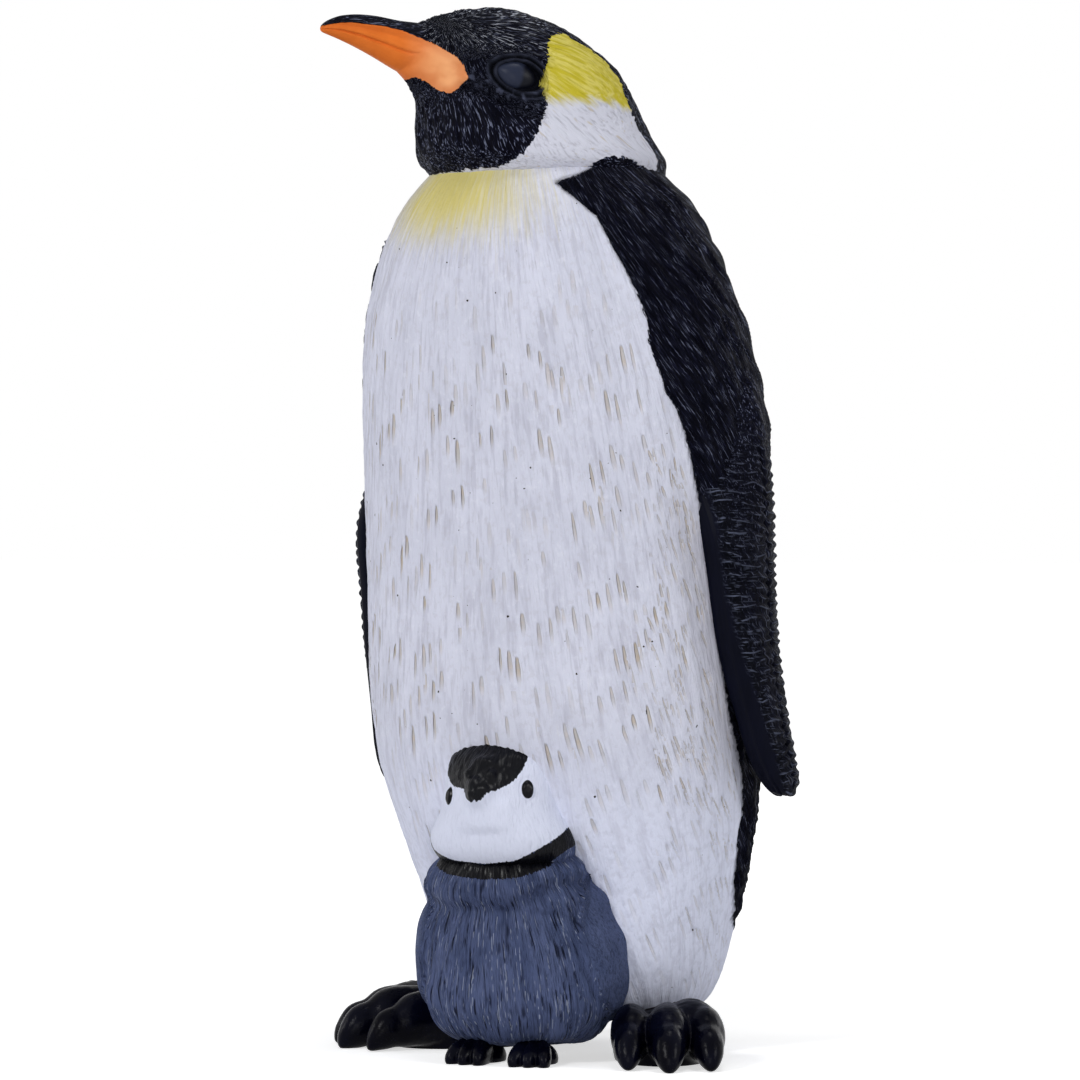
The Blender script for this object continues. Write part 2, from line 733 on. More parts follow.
belly = coat.over(
    tint(209, 211, 227),
    (coat.step(drift, 0.3, 0.7), tint(217, 219, 235)),
    (coat.step(streak, 0.50, 0.32) * 0.5, tint(184, 184, 200)),
    (coat.step(strand, 0.46, 0.28) * 0.3, tint(178, 177, 190)),
    (coat.step(mottle, 0.46, 0.34) * 0.25, tint(186, 184, 194)),
    (coat.step(mottle, 0.56, 0.70) * 0.3, tint(232, 234, 246)),
    (coat.kept("shaded") * (0.2 + strand * 0.7), tint(150, 147, 156)),
    (low_down * 0.95, tint(231, 235, 255)),
    (low_down * coat.step(mottle, 0.52, 0.36) * 0.25, tint(186, 187, 206)),
    (low_down * coat.step(streak, 0.50, 0.36) * 0.25, tint(184, 183, 200)),
    (right_ridge * 0.7, tint(232, 233, 243)),
    (pressed * 0.85, wash),
    (left_edge * 0.75, tint(128, 115, 106)),
    (coat.step(speck, 0.86, 0.88), tint(60, 56, 56)),
    (yellow * 0.9, tint(212, 198, 104)),
)
jag = coat.noise(lie_wire, (0.7, 0.7, 2.2)) - 0.5
black = coat.covered("black_by", jag * 1.6, 0.08)
black_color, black_roughness, black_height = feather_black(coat, lie_wire)
color = coat.mix(black, belly, black_color)
roughness = blend(black, black_roughness, 0.52 + (strand - 0.5) * 0.1)
white_height = strand * 0.3 + 0.3 * streak + 0.25 * mottle - 0.4 * pressed
coat_paint = coat.finish(color, roughness, blend(black, black_height, white_height), 1.0)


def dress(piece, node, paint):
    """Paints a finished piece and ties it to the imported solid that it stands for."""
    piece.data.materials.append(paint)
    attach(piece, "root")
    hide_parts(node)


dress(body, "torso_shell", coat_paint)

# %% [markdown]
# ## The head
#
# The head looks to the figure's right, and only a soft crease under the throat parts it from the body.
# It could be sculpted from a ball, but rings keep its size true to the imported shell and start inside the
# body. It is shaped facing straight ahead, where left and right match, and turned at the end.

# %% Head form
seam = 201.3  # height of the crease under the throat
head_turn = -35
neck_back = -6.6 + set_back

# height above the seam, ahead of the neck's middle, half length, half width
head_rows = [
    (-4, -1.2, 24.6, 24.0), (0, 0.1, 27.0, 27.0), (4, 1.8, 28.2, 27.5), (10, 4.1, 26.8, 24.9),
    (17, 5.8, 25.3, 22.4), (23.5, 9.2, 24.0, 20.6), (28.5, 12.2, 21.2, 18.0), (32.5, 14.4, 17.2, 14.0),
    (35.2, 14.6, 12.4, 9.8), (37.0, 13.8, 7.0, 5.4), (37.6, 13.2, 2.4, 2.0),
]  # fmt: skip
head_stations = [(z + seam, 0, -ahead, wide, long) for z, ahead, long, wide in head_rows]
head = ring_form("head", head_stations, sides=32, crowd=0.2)


def side_view(piece):
    """Each point as seen from the side of the unturned head: ahead, height above the seam, and out."""
    points = points_of(piece)
    return -points[:, 1], points[:, 2] - seam, points[:, 0]


ahead, high, out = side_view(head)
head_points = points_of(head)
middle, long = read_off(head_rows, high, 1, 2)
narrow = np.interp(high, [0, 9, 17, 24, 28, 31.6, 34.6, 37], [0, 0.04, 0.12, 0.26, 0.32, 0.32, 0.24, 0])
head_points[:, 0] *= 1 - narrow * np.clip((ahead - middle) / long, -1, 1)
set_points(head, head_points)

# %% [markdown]
# ## Face
#
# Two lids stand up round the eye as an almond, and a furrow and a fold of beads run down and back from the
# corner of the beak. Each of these is a hill or valley along a line drawn on the side of the head.

# %% Lids
ahead, high, out = side_view(head)
side_face = smooth(np.abs(normals_of(head)[:, 0]), 0.25, 0.6)
eye_ahead, eye_high = 13.6, 20.3
tilt = -0.38
eye_x = (ahead - eye_ahead) * math.cos(tilt) - (high - eye_high) * math.sin(tilt)
eye_y = (ahead - eye_ahead) * math.sin(tilt) + (high - eye_high) * math.cos(tilt)
almond = np.hypot(eye_x / 5.3, eye_y / (3.6 - 0.08 * np.abs(eye_x)))
lids = hills(almond, (0.95, 1.02, 0.11), (-0.15, 0.86, 0.05), (-0.4, 1.19, 0.05))
lids += 0.5 * bell(almond, 1.34, 0.08) * smooth(eye_y, -0.5, 1.5)
lids -= 0.35 * bell(almond, 1.3, 0.14) * smooth(-eye_y, 0, 2)
lids -= 0.9 * (1 - smooth(almond, 0.5, 0.85))
lids *= smooth(ahead, 7.4, 9.4)
rim = hills(almond, (0.9, 1.04, 0.07), (0.7, 1.36, 0.07)) * smooth(ahead, 7.0, 8.6)
rim *= 0.75 + 0.8 * grain(head_points, (2, 2, 2), 17)

# %% Furrow, fold and brow
flat_head = columns(ahead, high)
furrow_line = [(25, 18.4), (21.5, 17.2), (17.5, 14.8), (13.5, 13.0), (9.8, 12.0)]
fold_line = [(24.6, 20.6), (21.5, 19.2), (17.6, 16.6), (13.6, 15.2), (10.0, 14.2)]
brow_line = [(24.5, 24.2), (19.5, 25.8), (13.5, 26.2), (8.5, 24.4)]
furrow, fold, brow = (far_from_line(flat_head, line) for line in (furrow_line, fold_line, brow_line))
fade_back = smooth(ahead, 7, 13)
beads = 0.75 + 0.5 * grain(head_points, (1.6, 1.6, 1.6), 15)
face = 0.7 * bell(brow, 0, 1.6) + fade_back * (beads * bell(fold, 0, 1.3) - 0.9 * bell(furrow, 0, 0.9))
lit_beads = 1.2 * smooth(grain(head_points, (1.1, 1.1, 1.1), 16), 0.15, 0.4)
lit_beads *= bell(fold, 0, 1.2) * fade_back
keep(head, "bare", side_face * (1 - smooth(almond, 1.3, 1.5)) * smooth(ahead, 6.5, 8.0))
keep(head, "rim", side_face * np.maximum(rim, lit_beads))
raise_by(head, side_face * (lids + face))

# The face reaches forward under the beak, but the forehead above it stays low.
head_points = points_of(head)
head_points[:, 1] -= 5.0 * bell(np.hypot(out, high - 26.5), 0, 6.0) * smooth(ahead, 18, 25)
set_points(head, head_points)

# %% [markdown]
# ## Head feathers
#
# Feathers grow away from the beak: back over the crown, down the throat and slantwise over the cheek.
# So the noise that makes them is laid out by distance and direction from the root of the beak.

# %% Head feathers
ahead, high, out = side_view(head)
from_beak = np.hypot(ahead - 27, high - 34)
fan = np.arctan2(high - 34, ahead - 27)
fan = np.where(fan > 0.9, fan - 2 * math.pi, fan)
head_lie = columns(normals_of(head)[:, 0] * 20, fan * 24, from_beak)
keep(head, "lie", head_lie)

light_edge = [
    (19, 0), (15.4, 2.3), (12.4, 6.2), (9.8, 10.8), (8.6, 14.2), (9.7, 18.8), (7.7, 24.6),
    (7, 28.1), (5, 30.6), (1.6, 31.1), (-3.9, 28), (-8.6, 24.3), (-11.6, 21.1), (-13.0, 15.4),
    (-14.5, 10.9), (-17.3, 7.0), (-19.8, 2.6), (-18.8, 0.2), (-16.2, 0.2), (-12.9, 1.2), (-8.7, 2.6),
    (-3.4, 2.2), (0.3, 0.1), (4.1, -1.5), (8.5, -3.2), (8.5, -7), (40, -7), (40, -0.7), (28.4, -0.5),
]  # fmt: skip
plate_edge = [
    (56.5, 32.0), (54.4, 32.3), (49.4, 33.2), (40.4, 32.3), (36, 31.2), (30.5, 28.6), (26.4, 25.3),
    (25, 22.9), (24.5, 20.2), (25.8, 18.2), (27.3, 17), (29.2, 17.8), (31.1, 19.7), (33.4, 21.2),
    (35.1, 20.5), (41, 22), (48, 25), (56.5, 29),
]  # fmt: skip
flat_head = columns(ahead, high)
head_light = inside_by(flat_head, light_edge)
head_plate = inside_by(flat_head, plate_edge)
ear_rear = [(1.6, 31.1), (-3.9, 28), (-8.6, 24.3), (-11.8, 21.1), (-13.8, 15.4)]
ear_edge = bell(far_from_line(flat_head, ear_rear), 0, 3.0) * smooth(high, 11, 16)
keep(head, "light_by", head_light)
keep(head, "plate_by", head_plate)
keep(head, "crown", smooth(high, 24, 29) * smooth(ahead, 2, 8))
keep(head, "ahead", ahead)
keep(head, "yellow", smooth(high, 10.5, 19.5) + 0.6 * ear_edge)

plain = (1 - smooth(head_plate, -0.8, 0.4)) * smooth(almond, 1.25, 1.6)
tufted = grain(head_lie, (1.0, 1.0, 5), 11) * 0.42 + grain(head_lie, (2.4, 2.4, 7), 12) * 0.42
silky = grain(head_lie, (1.0, 1.0, 7), 13) * 0.16 + grain(head_lie, (6, 6, 9), 14) * 0.2
raise_by(head, plain * blend(smooth(head_light, -0.5, 0.5), silky, tufted))

# %% [markdown]
# ## Head paint
#
# Four colours meet on the head. The black mask and nape have ragged edges, the ear patch is streaked
# yellow that fades into white, and the orange plate of the beak runs on over the face.
# Head and beak share one recipe, so the plate crosses from one to the other without a step.

# %% Head and beak paint


def head_finish(name):
    sheet = Sheet(name)
    lie = sheet.kept("lie", "Vector")
    crown = sheet.kept("crown")
    dark, dark_roughness, dark_height = feather_black(sheet, lie, 0.95, 0.03 + 0.01 * crown)
    wavy = sheet.step(sheet.noise(lie, (0.5, 0.5, 3.6), 1.0), 0.61, 0.67)
    dark = sheet.over(
        dark,
        (crown * 0.45, tint(6, 7, 14)),
        (wavy * crown * 0.8, tint(196, 201, 214)),
        (sheet.kept("bare") * 0.9, tint(4, 5, 11)),
        (sheet.kept("rim") * 0.6, tint(104, 110, 136)),
    )
    strand = sheet.noise(lie, (0.5, 0.5, 7), rough=0.55)
    stain = sheet.noise(lie, (0.8, 0.8, 5), 1.0)
    streak = sheet.noise(lie, (1.1, 1.1, 9), rough=0.6) - 0.5
    rich = sheet.over(
        tint(216, 204, 104),
        (sheet.step(streak, -0.12, 0.14), tint(194, 180, 52)),
        (sheet.step(strand, 0.50, 0.32) * 0.45, tint(172, 156, 44)),
    )
    light = sheet.over(
        tint(207, 208, 221),
        (sheet.step(strand, 0.50, 0.28) * 0.75, tint(172, 171, 183)),
        (sheet.step(stain, 0.64, 0.76) * 0.6, tint(184, 170, 146)),
        (sheet.step(sheet.kept("yellow") + streak * 0.9, 0.25, 0.85), rich),
    )
    cloud = sheet.noise(sheet.position(), (0.006, 0.004, 0.004))
    orange = sheet.over(
        tint(224, 118, 48),
        (sheet.step(sheet.kept("ahead"), 38, 26), tint(246, 178, 124)),
        (sheet.step(cloud, 0.35, 0.7) * 0.4, tint(204, 98, 34)),
        (sheet.step(sheet.kept("plate_by"), 2.4, 0.4) * 0.35, tint(190, 88, 34)),
    )
    jag = sheet.noise(lie, (0.8, 0.8, 1.8)) - 0.5
    light_mask = sheet.covered("light_by", jag * 2.3)
    plate_mask = sheet.covered("plate_by", jag * 0.7, 0.06)
    fine = sheet.noise(sheet.position(), (0.0007, 0.0007, 0.0007))
    color = sheet.over(dark, (light_mask, light), (plate_mask, orange))
    roughness = blend(plate_mask, 0.38 + fine * 0.1, blend(light_mask, 0.52, dark_roughness))
    height = blend(plate_mask, fine * 0.12, blend(light_mask, strand * 0.7, dark_height))
    return sheet.finish(color, roughness, height, 0.8)


def settle(piece, turn=0.0, to=(0, 0, 0)):
    """Turns a piece about the upright axis, moves it in millimetres, and bakes both into its mesh."""
    choose(piece)
    piece.rotation_euler = (0, 0, math.radians(turn))
    piece.location = Vector(to) * mm
    bpy.ops.object.transform_apply(location=True, rotation=True, scale=True)


def set_on_neck(piece):
    settle(piece, head_turn, (0, neck_back, 0))


set_on_neck(head)
dress(head, "head_shell", head_finish("head_paint"))

# %% [markdown]
# ## The beak
#
# The beak is long, slender and a little down-curved. Its black ridge and orange plate are one moulding.
# It is a lying ring form, thickest where it leaves the face, with a soft mouth line and two faint ribs.

# %% Beak
beak_rows = [
    (20.5, 25.0, 5.6, 9.6), (25, 25.9, 6.2, 8.6), (30.5, 27.0, 6.4, 6.9), (36, 28.2, 5.7, 5.4),
    (41, 29.9, 4.8, 4.0), (46, 31.3, 3.7, 3.1), (50.2, 32.0, 2.6, 2.3), (53.2, 32.0, 1.5, 1.4),
    (54.8, 31.7, 0.6, 0.6),
]  # fmt: skip
beak_stations = [(ahead, 0, z + seam, wide, tall) for ahead, z, tall, wide in beak_rows]
beak = ring_form("beak_and_plate", beak_stations, sides=16, lying=True)
ahead, high, out = side_view(beak)
level, tall = read_off(beak_rows, ahead, 1, 2)
up = (high - level) / tall
sided = smooth(np.abs(normals_of(beak)[:, 0]), 0.3, 0.7)
thin_out = smooth(tall, 0.8, 4)
clear_of_face = smooth(ahead, 27, 34)
mouth = hills(up, (-0.45, -0.30, 0.07), (-0.18, 0.22, 0.10), (0.22, 0.45, 0.14), (0.16, -0.14, 0.10))
ridge = 0.25 * bell(np.abs(up), 1.0, 0.12) * (high > level)
raise_by(beak, sided * mouth * clear_of_face * (0.3 + 0.7 * thin_out) + ridge * thin_out)

# %% Beak paint areas
far_outside = -9.0  # a kept distance where that paint never comes
ahead, high, out = side_view(beak)
facing = normals_of(beak)
on_plate = inside_by(columns(ahead, high), plate_edge)
keep(beak, "plate_by", np.minimum(on_plate, (0.76 - facing[:, 2]) * 5))
keep(beak, "light_by", np.full(len(ahead), far_outside))
for layer in ("yellow", "rim", "bare", "crown"):
    keep(beak, layer, np.zeros(len(ahead)))
keep(beak, "ahead", ahead)
keep(beak, "lie", columns(facing[:, 0] * 8, high, ahead))
set_on_neck(beak)
dress(beak, "beak", head_finish("beak_paint"))

# %% [markdown]
# ## The eyes
#
# Each eye is a smooth black dome between the lids. Its front half looks a little brighter than the rest.
# A sphere is a fair start. Its two corners are pulled to points so it fills the almond.

# %% Eyes
eye_sheet = Sheet("eye_gloss")
depth_tone = eye_sheet.noise(eye_sheet.position(), (0.004, 0.004, 0.004), 1.0)
lit_front = eye_sheet.step(eye_sheet.kept("front") + (depth_tone - 0.5) * 0.4, -0.08, 0.16)
eye_color = eye_sheet.mix(lit_front, tint(8, 10, 20), tint(36, 41, 58))
smear = eye_sheet.noise(eye_sheet.position(), (0.0012, 0.0012, 0.002))
eye_gloss = eye_sheet.finish(eye_color, 0.30 + smear * 0.16, smear, 0.05, mirror=0.1)
eye_out = 17.4  # from the middle of the head to the middle of the dome
for side, name in ((1, "left_eye"), (-1, "right_eye")):
    deselect()
    bpy.ops.mesh.primitive_uv_sphere_add(segments=48, ring_count=32, radius=1)
    eye = bpy.context.object
    eye.name = eye.data.name = name
    dome = points_of(eye) * mm
    corner = np.abs(dome[:, 1])
    dome[:, 2] *= 1 - 0.30 * corner**3
    dome[:, 1] *= 1 + 0.10 * corner**4
    keep(eye, "front", -dome[:, 1])
    dome *= (3.4, 5.0, 4.0)
    forward, rise = -dome[:, 1].copy(), dome[:, 2].copy()
    dome[:, 1] = -forward * math.cos(tilt) - rise * math.sin(tilt)
    dome[:, 2] = rise * math.cos(tilt) - forward * math.sin(tilt)
    set_points(eye, dome + (side * eye_out, -eye_ahead, seam + eye_high))
    choose(eye)
    bpy.ops.object.shade_smooth()
    set_on_neck(eye)
    dress(eye, "head_shell", eye_gloss)

# %% [markdown]
# ## The flippers
#
# A flipper is a stiff blade with a smooth rounded front edge. Behind it lie rows of small scale-like
# feathers that end in a scalloped back edge. The left one is modelled, and the right one is its mirror
# image with its own mesh.

# %% Flipper form
flipper_rows = [
    (160, 43.4, 1.4, 2.4, 7.5), (154, 45.1, 1.1, 3.5, 10.5), (148, 46.5, 0.6, 4.2, 12.2),
    (142.5, 47.5, 0.2, 4.4, 12.8), (137, 48.4, 0.0, 4.5, 13.1), (131.5, 49.1, 0.0, 4.5, 13.0),
    (126, 49.6, 0.0, 4.4, 12.8), (120.5, 49.9, 0.0, 4.3, 12.7), (115, 50.1, 0.1, 4.2, 12.4),
    (109.5, 50.2, 0.4, 4.1, 12.1), (104, 50.3, 0.9, 4.0, 11.8), (98.5, 50.4, 1.5, 4.0, 11.4),
    (93, 50.6, 2.3, 3.8, 10.9), (87.5, 50.9, 3.4, 3.6, 10.2), (82, 51.3, 4.6, 3.5, 9.5),
    (77, 51.8, 5.7, 3.3, 8.9), (72, 52.3, 6.8, 3.3, 8.4), (68, 52.8, 7.9, 3.1, 7.8),
    (64, 53.2, 9.2, 2.7, 6.6), (61, 53.5, 10.0, 1.9, 4.2), (60, 53.6, 10.3, 1.0, 2.0),
]  # fmt: skip
flipper_stations = [(z, x, y + set_back, thick, chord) for z, x, y, thick, chord in flipper_rows]
flipper = ring_form("left_flipper_blade", flipper_stations, sides=16)
blade = points_of(flipper)
blade_height = blade[:, 2]
blade_middle, blade_chord = read_off(flipper_rows, blade_height, 2, 4)
behind = blade[:, 1] - blade_middle - set_back
backness = behind / blade_chord
blade[:, 0] -= 0.02 * behind**2
# The front edge swings forward over the flank, and higher up it sinks into the shoulder.
swing = 1.1 * smooth(blade_height, 108, 128) - 0.7 * bell(blade_height, 102, 14)
blade[:, 1] -= np.clip(-backness, 0, 1) * swing
blade[:, 0] -= 5.0 * smooth(-backness, -0.3, 0.8) * smooth(blade_height, 116, 142)
set_points(flipper, blade)

# %% Rows of scales
scale_pitch = 2.3  # from one row of scales to the next
outer = smooth(normals_of(flipper)[:, 0], -0.3, 0.3)
wander = 0.9 * grain(blade, (5, 5, 6), 21)
band_edge = -0.92 + 0.32 * smooth(-blade_height, -108, -70) + 0.05 * wander
rear_column = smooth(backness, 0.10, 0.18)
slant = behind * (0.12 - 0.20 * smooth(-blade_height, -125, -85))
ridge_turns = (blade_height + slant + 1.2 * wander) / scale_pitch + 0.45 * rear_column
ridge_turns += 0.15 * grain(blade, (2.6, 2.6, 2.6), 23)
wave = 0.5 - 0.5 * np.cos(2 * math.pi * ridge_turns)
scale_zone = smooth(backness, band_edge, band_edge + 0.14) * (1 - smooth(blade_height, 132, 148))
uneven = 0.8 + 0.7 * grain(blade, (2.5, 2.5, 3), 22)
scales = (wave**0.6 - 0.6) * (0.8 + 0.3 * rear_column - 1.05 * smooth(backness, 0.6, 0.9))
scales -= 0.5 * bell(backness, 0.14, 0.05)
print("scale rows:", round(float(np.ptp(blade_height)) / scale_pitch))

# %% Scallops, tufts and rim
knobs = (wave - 0.5) * (0.25 + 0.6 * grain(blade, (6, 6, 3), 25)) + 0.9 * grain(blade, (9, 9, 3.0), 24)
blade_lie = columns(blade[:, 0], behind + (blade_height - 110) * 0.55, blade_height * 0.9)
tuft_zone = smooth(blade_height, 130, 146)
blade_tufts = grain(blade_lie, (2.4, 2.0, 7), 1) * 0.7 + grain(blade_lie, (1.2, 1.2, 4), 2) * 0.45
front_rim = hills(backness, (0.3, -0.95, 0.04), (-0.25, -0.87, 0.05))
raise_by(
    flipper,
    scale_zone * ((0.35 + 0.65 * outer) * scales * uneven + smooth(backness, 0.70, 0.95) * knobs)
    + tuft_zone * blade_tufts + front_rim * (1 - smooth(blade_height, 140, 150)),
)  # fmt: skip
keep(flipper, "lie", blade_lie)
keep(flipper, "scaled", np.clip(scale_zone + tuft_zone, 0, 1))
keep(flipper, "turns", ridge_turns)
keep(flipper, "near_band", 1 - smooth(backness, -0.35, -0.15))
keep(flipper, "ridged", scale_zone * (0.5 + 0.5 * bell(backness - band_edge, 0.14, 0.16)))

# %% [markdown]
# ## Flipper paint
#
# The smooth band in front is plain satin black. On the scales the light catches the crest of each row
# in broken strokes, and close behind the band in finer ones.

# %% Flipper paint
skin = Sheet("flipper_paint")
skin_place = skin.position()
scaled = skin.kept("scaled")
ridged = skin.kept("ridged")
dark, dark_roughness, dark_height = feather_black(skin, skin.kept("lie", "Vector"))
band = skin.noise(skin_place, (0.003, 0.003, 0.009))
band_color = skin.mix(band, tint(3, 4, 13), tint(11, 13, 28))
angle = skin.kept("turns") * (2 * math.pi)
broken = skin.step(skin.noise(skin_place, (0.0026, 0.0026, 0.0012), 1.0), 0.46, 0.58)
row_stroke = skin.step(angle.math("COSINE", angle), -0.80, -0.98) * broken
fine_stroke = skin.step(skin.noise(skin_place, (0.0026, 0.0026, 0.00036), 1.0), 0.58, 0.68)
stroke = angle.math("MAXIMUM", row_stroke, fine_stroke * skin.kept("near_band") * 0.7)
color = skin.over(
    band_color,
    (scaled, skin.mix(ridged * 0.8, dark, tint(4, 5, 11))),
    (stroke * ridged * 0.85, tint(96, 102, 124)),
)
roughness = blend(scaled, dark_roughness - stroke * 0.12, 0.36 + band * 0.08)
height = blend(scaled, dark_height * 0.5 + stroke * 0.5, band * 0.1)
flipper_paint = skin.finish(color, roughness, height, 0.6)

# %% The other flipper


def mirror_image(piece, name):
    """A copy with its own mesh on the other side of the figure, its faces turned outwards again."""
    copy = piece.copy()
    copy.data = piece.data.copy()
    copy.name = copy.data.name = name
    bpy.context.collection.objects.link(copy)
    choose(copy)
    copy.scale = (-1, 1, 1)
    bpy.ops.object.transform_apply(location=True, rotation=True, scale=True)
    bpy.ops.object.mode_set(mode="EDIT")
    face_outwards()
    return copy


other_flipper = mirror_image(flipper, "right_flipper_blade")
settle(other_flipper, 0, (-1.5, -0.6, 0))  # the far one hangs a little further out and forward
dress(flipper, "left_flipper", flipper_paint)
dress(other_flipper, "right_flipper", flipper_paint)

# %% [markdown]
# ## The feet
#
# Each foot is a lump with three knuckled toes that end in swollen claws turned down to the floor.
# Every toe is a lying ring form. Toes and pad are joined and remeshed, so they melt into one another as on
# a moulding, and the sole is pressed flat at floor level.

# %% Toes and pad
# share of the length, height of the middle, half height, half width
toe_rows = [
    (0, 4, 4, 2.6), (0.18, 6.0, 6.0, 4.2), (0.36, 7.0, 6.9, 4.9), (0.55, 7.1, 6.9, 5.0),
    (0.68, 6.5, 6.3, 4.6), (0.755, 5.6, 5.3, 3.9), (0.82, 5.1, 5.1, 3.7), (0.90, 4.3, 4.5, 3.2),
    (0.96, 2.9, 3.1, 2.2), (1, 1.8, 1.5, 1.0),
]  # fmt: skip
# aside, start, length, turn in degrees, size
toes = ((-6.2, 8, 29, -4, 0.92), (0.9, 10, 31, 0, 1.0), (7.6, 8, 31, 5, 0.92))


def melt(pieces, name, voxel, smoothing):
    """Joins pieces, remeshes them as one skin and presses the sole flat on the floor."""
    deselect()
    for piece in pieces:
        piece.select_set(True)
    bpy.context.view_layer.objects.active = pieces[0]
    bpy.ops.object.join()
    joined = bpy.context.object
    joined.name = joined.data.name = name
    apply_modifier(joined, "REMESH", mode="VOXEL", voxel_size=voxel * mm)
    apply_modifier(joined, "SMOOTH", factor=0.5, iterations=smoothing)
    bpy.ops.object.shade_smooth()
    points = points_of(joined)
    points[:, 2] = np.maximum(points[:, 2], 0)
    set_points(joined, points)
    print(name, "faces:", len(joined.data.polygons))
    return joined


def ball(name, middle, sizes):
    """An egg-shaped lump from a subdivided cube, in millimetres."""
    deselect()
    bpy.ops.mesh.primitive_cube_add(size=2, location=(0, 0, 0))
    lump = bpy.context.object
    lump.name = name
    subdivide(lump, 4)
    round_points = points_of(lump)
    round_points /= np.linalg.norm(round_points, axis=1)[:, None]
    set_points(lump, round_points * sizes + np.array(middle))
    return lump


def toe_form(name, rows, aside, start, length, turn, size):
    stations = [(at * length, 0, z, wide * size, tall * size) for at, z, tall, wide in rows]
    toe = ring_form(name, stations, sides=12, levels=3, lying=True)
    settle(toe, turn, (aside, -start, 0))
    return toe


foot_parts = [ball("pad", (0, -10, 2), (11, 17, 9.5)), ball("heel", (0, -1, 5), (9.5, 11, 10)),
              ball("instep", (6.2, -20, 7.4), (6.6, 9.5, 7.3))]  # fmt: skip
foot_parts += [toe_form(f"toe_{number}", toe_rows, *toe) for number, toe in enumerate(toes)]
foot = melt(foot_parts, "left_foot_lump", voxel=0.42, smoothing=5)
foot_points = points_of(foot)
wrinkle = grain(foot_points, (5, 1.0, 3), 31) * 0.16 + grain(foot_points, (1.6, 1.6, 1.6), 32) * 0.12
wrinkle *= 1 - 0.8 * smooth(-foot_points[:, 1], 20, 28)  # the toes are nearly smooth
raise_by(foot, wrinkle * smooth(foot_points[:, 2], 0.3, 2))

# %% Foot gloss
foot_sheet = Sheet("foot_paint")
grainy = foot_sheet.noise(foot_sheet.position(), (0.0012, 0.0012, 0.0012), 3.0)
broad = foot_sheet.noise(foot_sheet.position(), (0.006, 0.006, 0.006), 1.0)
foot_color = foot_sheet.mix(foot_sheet.step(broad, 0.3, 0.7), tint(1, 1, 8), tint(5, 6, 20))
foot_gloss = foot_sheet.finish(foot_color, 0.20 + grainy * 0.10, grainy, 0.10, mirror=0.05)
settle(foot, 35, (22.2, 6.6 + set_back, 0))
other_foot = mirror_image(foot, "right_foot_lump")
settle(other_foot, 0, (0.6, 0.3, 0))  # the far one stands a little nearer the middle
dress(foot, "left_foot", foot_gloss)
dress(other_foot, "right_foot", foot_gloss)

# %% [markdown]
# ## The tail
#
# A short stiff wedge of black feathers stands behind the heels: one ring form with long shallow quills.

# %% Tail
tail_rows = [
    (48, 35.4, 6.0, 2.4), (42, 37.2, 13.2, 4.8), (32, 38.2, 15.2, 5.4), (21, 39.7, 13.4, 4.8),
    (12, 41.2, 9.4, 3.5), (7.5, 42, 4.6, 2.0),
]  # fmt: skip
tail = ring_form("tail_wedge", upright(tail_rows, set_back), sides=20)
tail_points = points_of(tail)
tail_lie = tail_points * (1, 1, 0.9)
quill = np.cos(tail_points[:, 0] * 1.55) * 0.35 * smooth(-tail_points[:, 2], -42, -34)
raise_by(tail, quill + grain(tail_lie, (1.6, 1.6, 8), 41) * 0.3)
keep(tail, "lie", tail_lie)
tail_sheet = Sheet("tail_paint")
tail_black = feather_black(tail_sheet, tail_sheet.kept("lie", "Vector"))
dress(tail, "tail", tail_sheet.finish(*tail_black, 0.8))

# %% [markdown]
# ## The chick's body
#
# The chick is a round bundle of grey down. Its neck makes a roll over the belly, and a wing lies along
# each side. The down is moulded as upright strands with short dark nicks, and a few crests catch the light.

# %% Chick body form
chick_turn, chick_x, chick_y = 14, 2.0, -20 + set_back
chick_rows = [
    (3.8, 0.6, 12.4, 10.2), (6.4, 0.4, 18.0, 15.4), (12.5, 0, 22.1, 19.4), (20, 0, 22.6, 20.2),
    (27, -0.6, 22.0, 19.6), (33.5, -2.2, 20.4, 18.6), (38.5, -4.0, 19.8, 18.4), (43, -5.6, 18.7, 17.4),
    (47, -6.6, 14.8, 14.0), (49.5, -7, 10.0, 9.0),
]  # fmt: skip
chick = ring_form("chick_down", upright(chick_rows), sides=24, crowd=0.25)
chick_points, chick_turned = around(chick, chick_rows)
chick_round = np.degrees(chick_turned)
chick_high = chick_points[:, 2]
crease_high = 34.6 + 6.5 * smooth(chick_round, 5, 60) + 1.5 * smooth(-chick_round, 20, 70)
crease = (0.9 + 0.9 * smooth(chick_round, -30, 40)) * bell(chick_high, crease_high, 2.0)
roll = 0.5 * bell(chick_high, crease_high + 4.5, 3.0)
second_high = 31.5 + 2.5 * np.sin(np.radians(chick_round * 2 + 30))
second_crease = bell(chick_high, second_high, 1.4) * bell(chick_round, 28, 26)
wing_y = (chick_points[:, 1] - 2.0 - 0.12 * (23 - chick_high)) / 12.5
wing_in = 1 - np.hypot(wing_y, (chick_high - 27.0) / 18.0)
at_side = smooth(np.abs(chick_points[:, 0]), 6, 12)
wing = (3.2 * np.sqrt(np.clip(wing_in, 0, 1)) - 0.5 * bell(wing_in, -0.05, 0.07)) * at_side
soft_lumps = grain(chick_points, (8, 8, 6), 51) * 0.6
raise_by(chick, roll - crease - second_crease + wing + soft_lumps)

# %% Chick down
down_radius = 21.0  # about half the chick's width, so the strands keep their breadth all round
on_wing = smooth(wing_in, 0.0, 0.12) * at_side
down_turn = np.radians(chick_round) + (chick_high - 24) * 0.010 * np.sin(np.radians(chick_round))
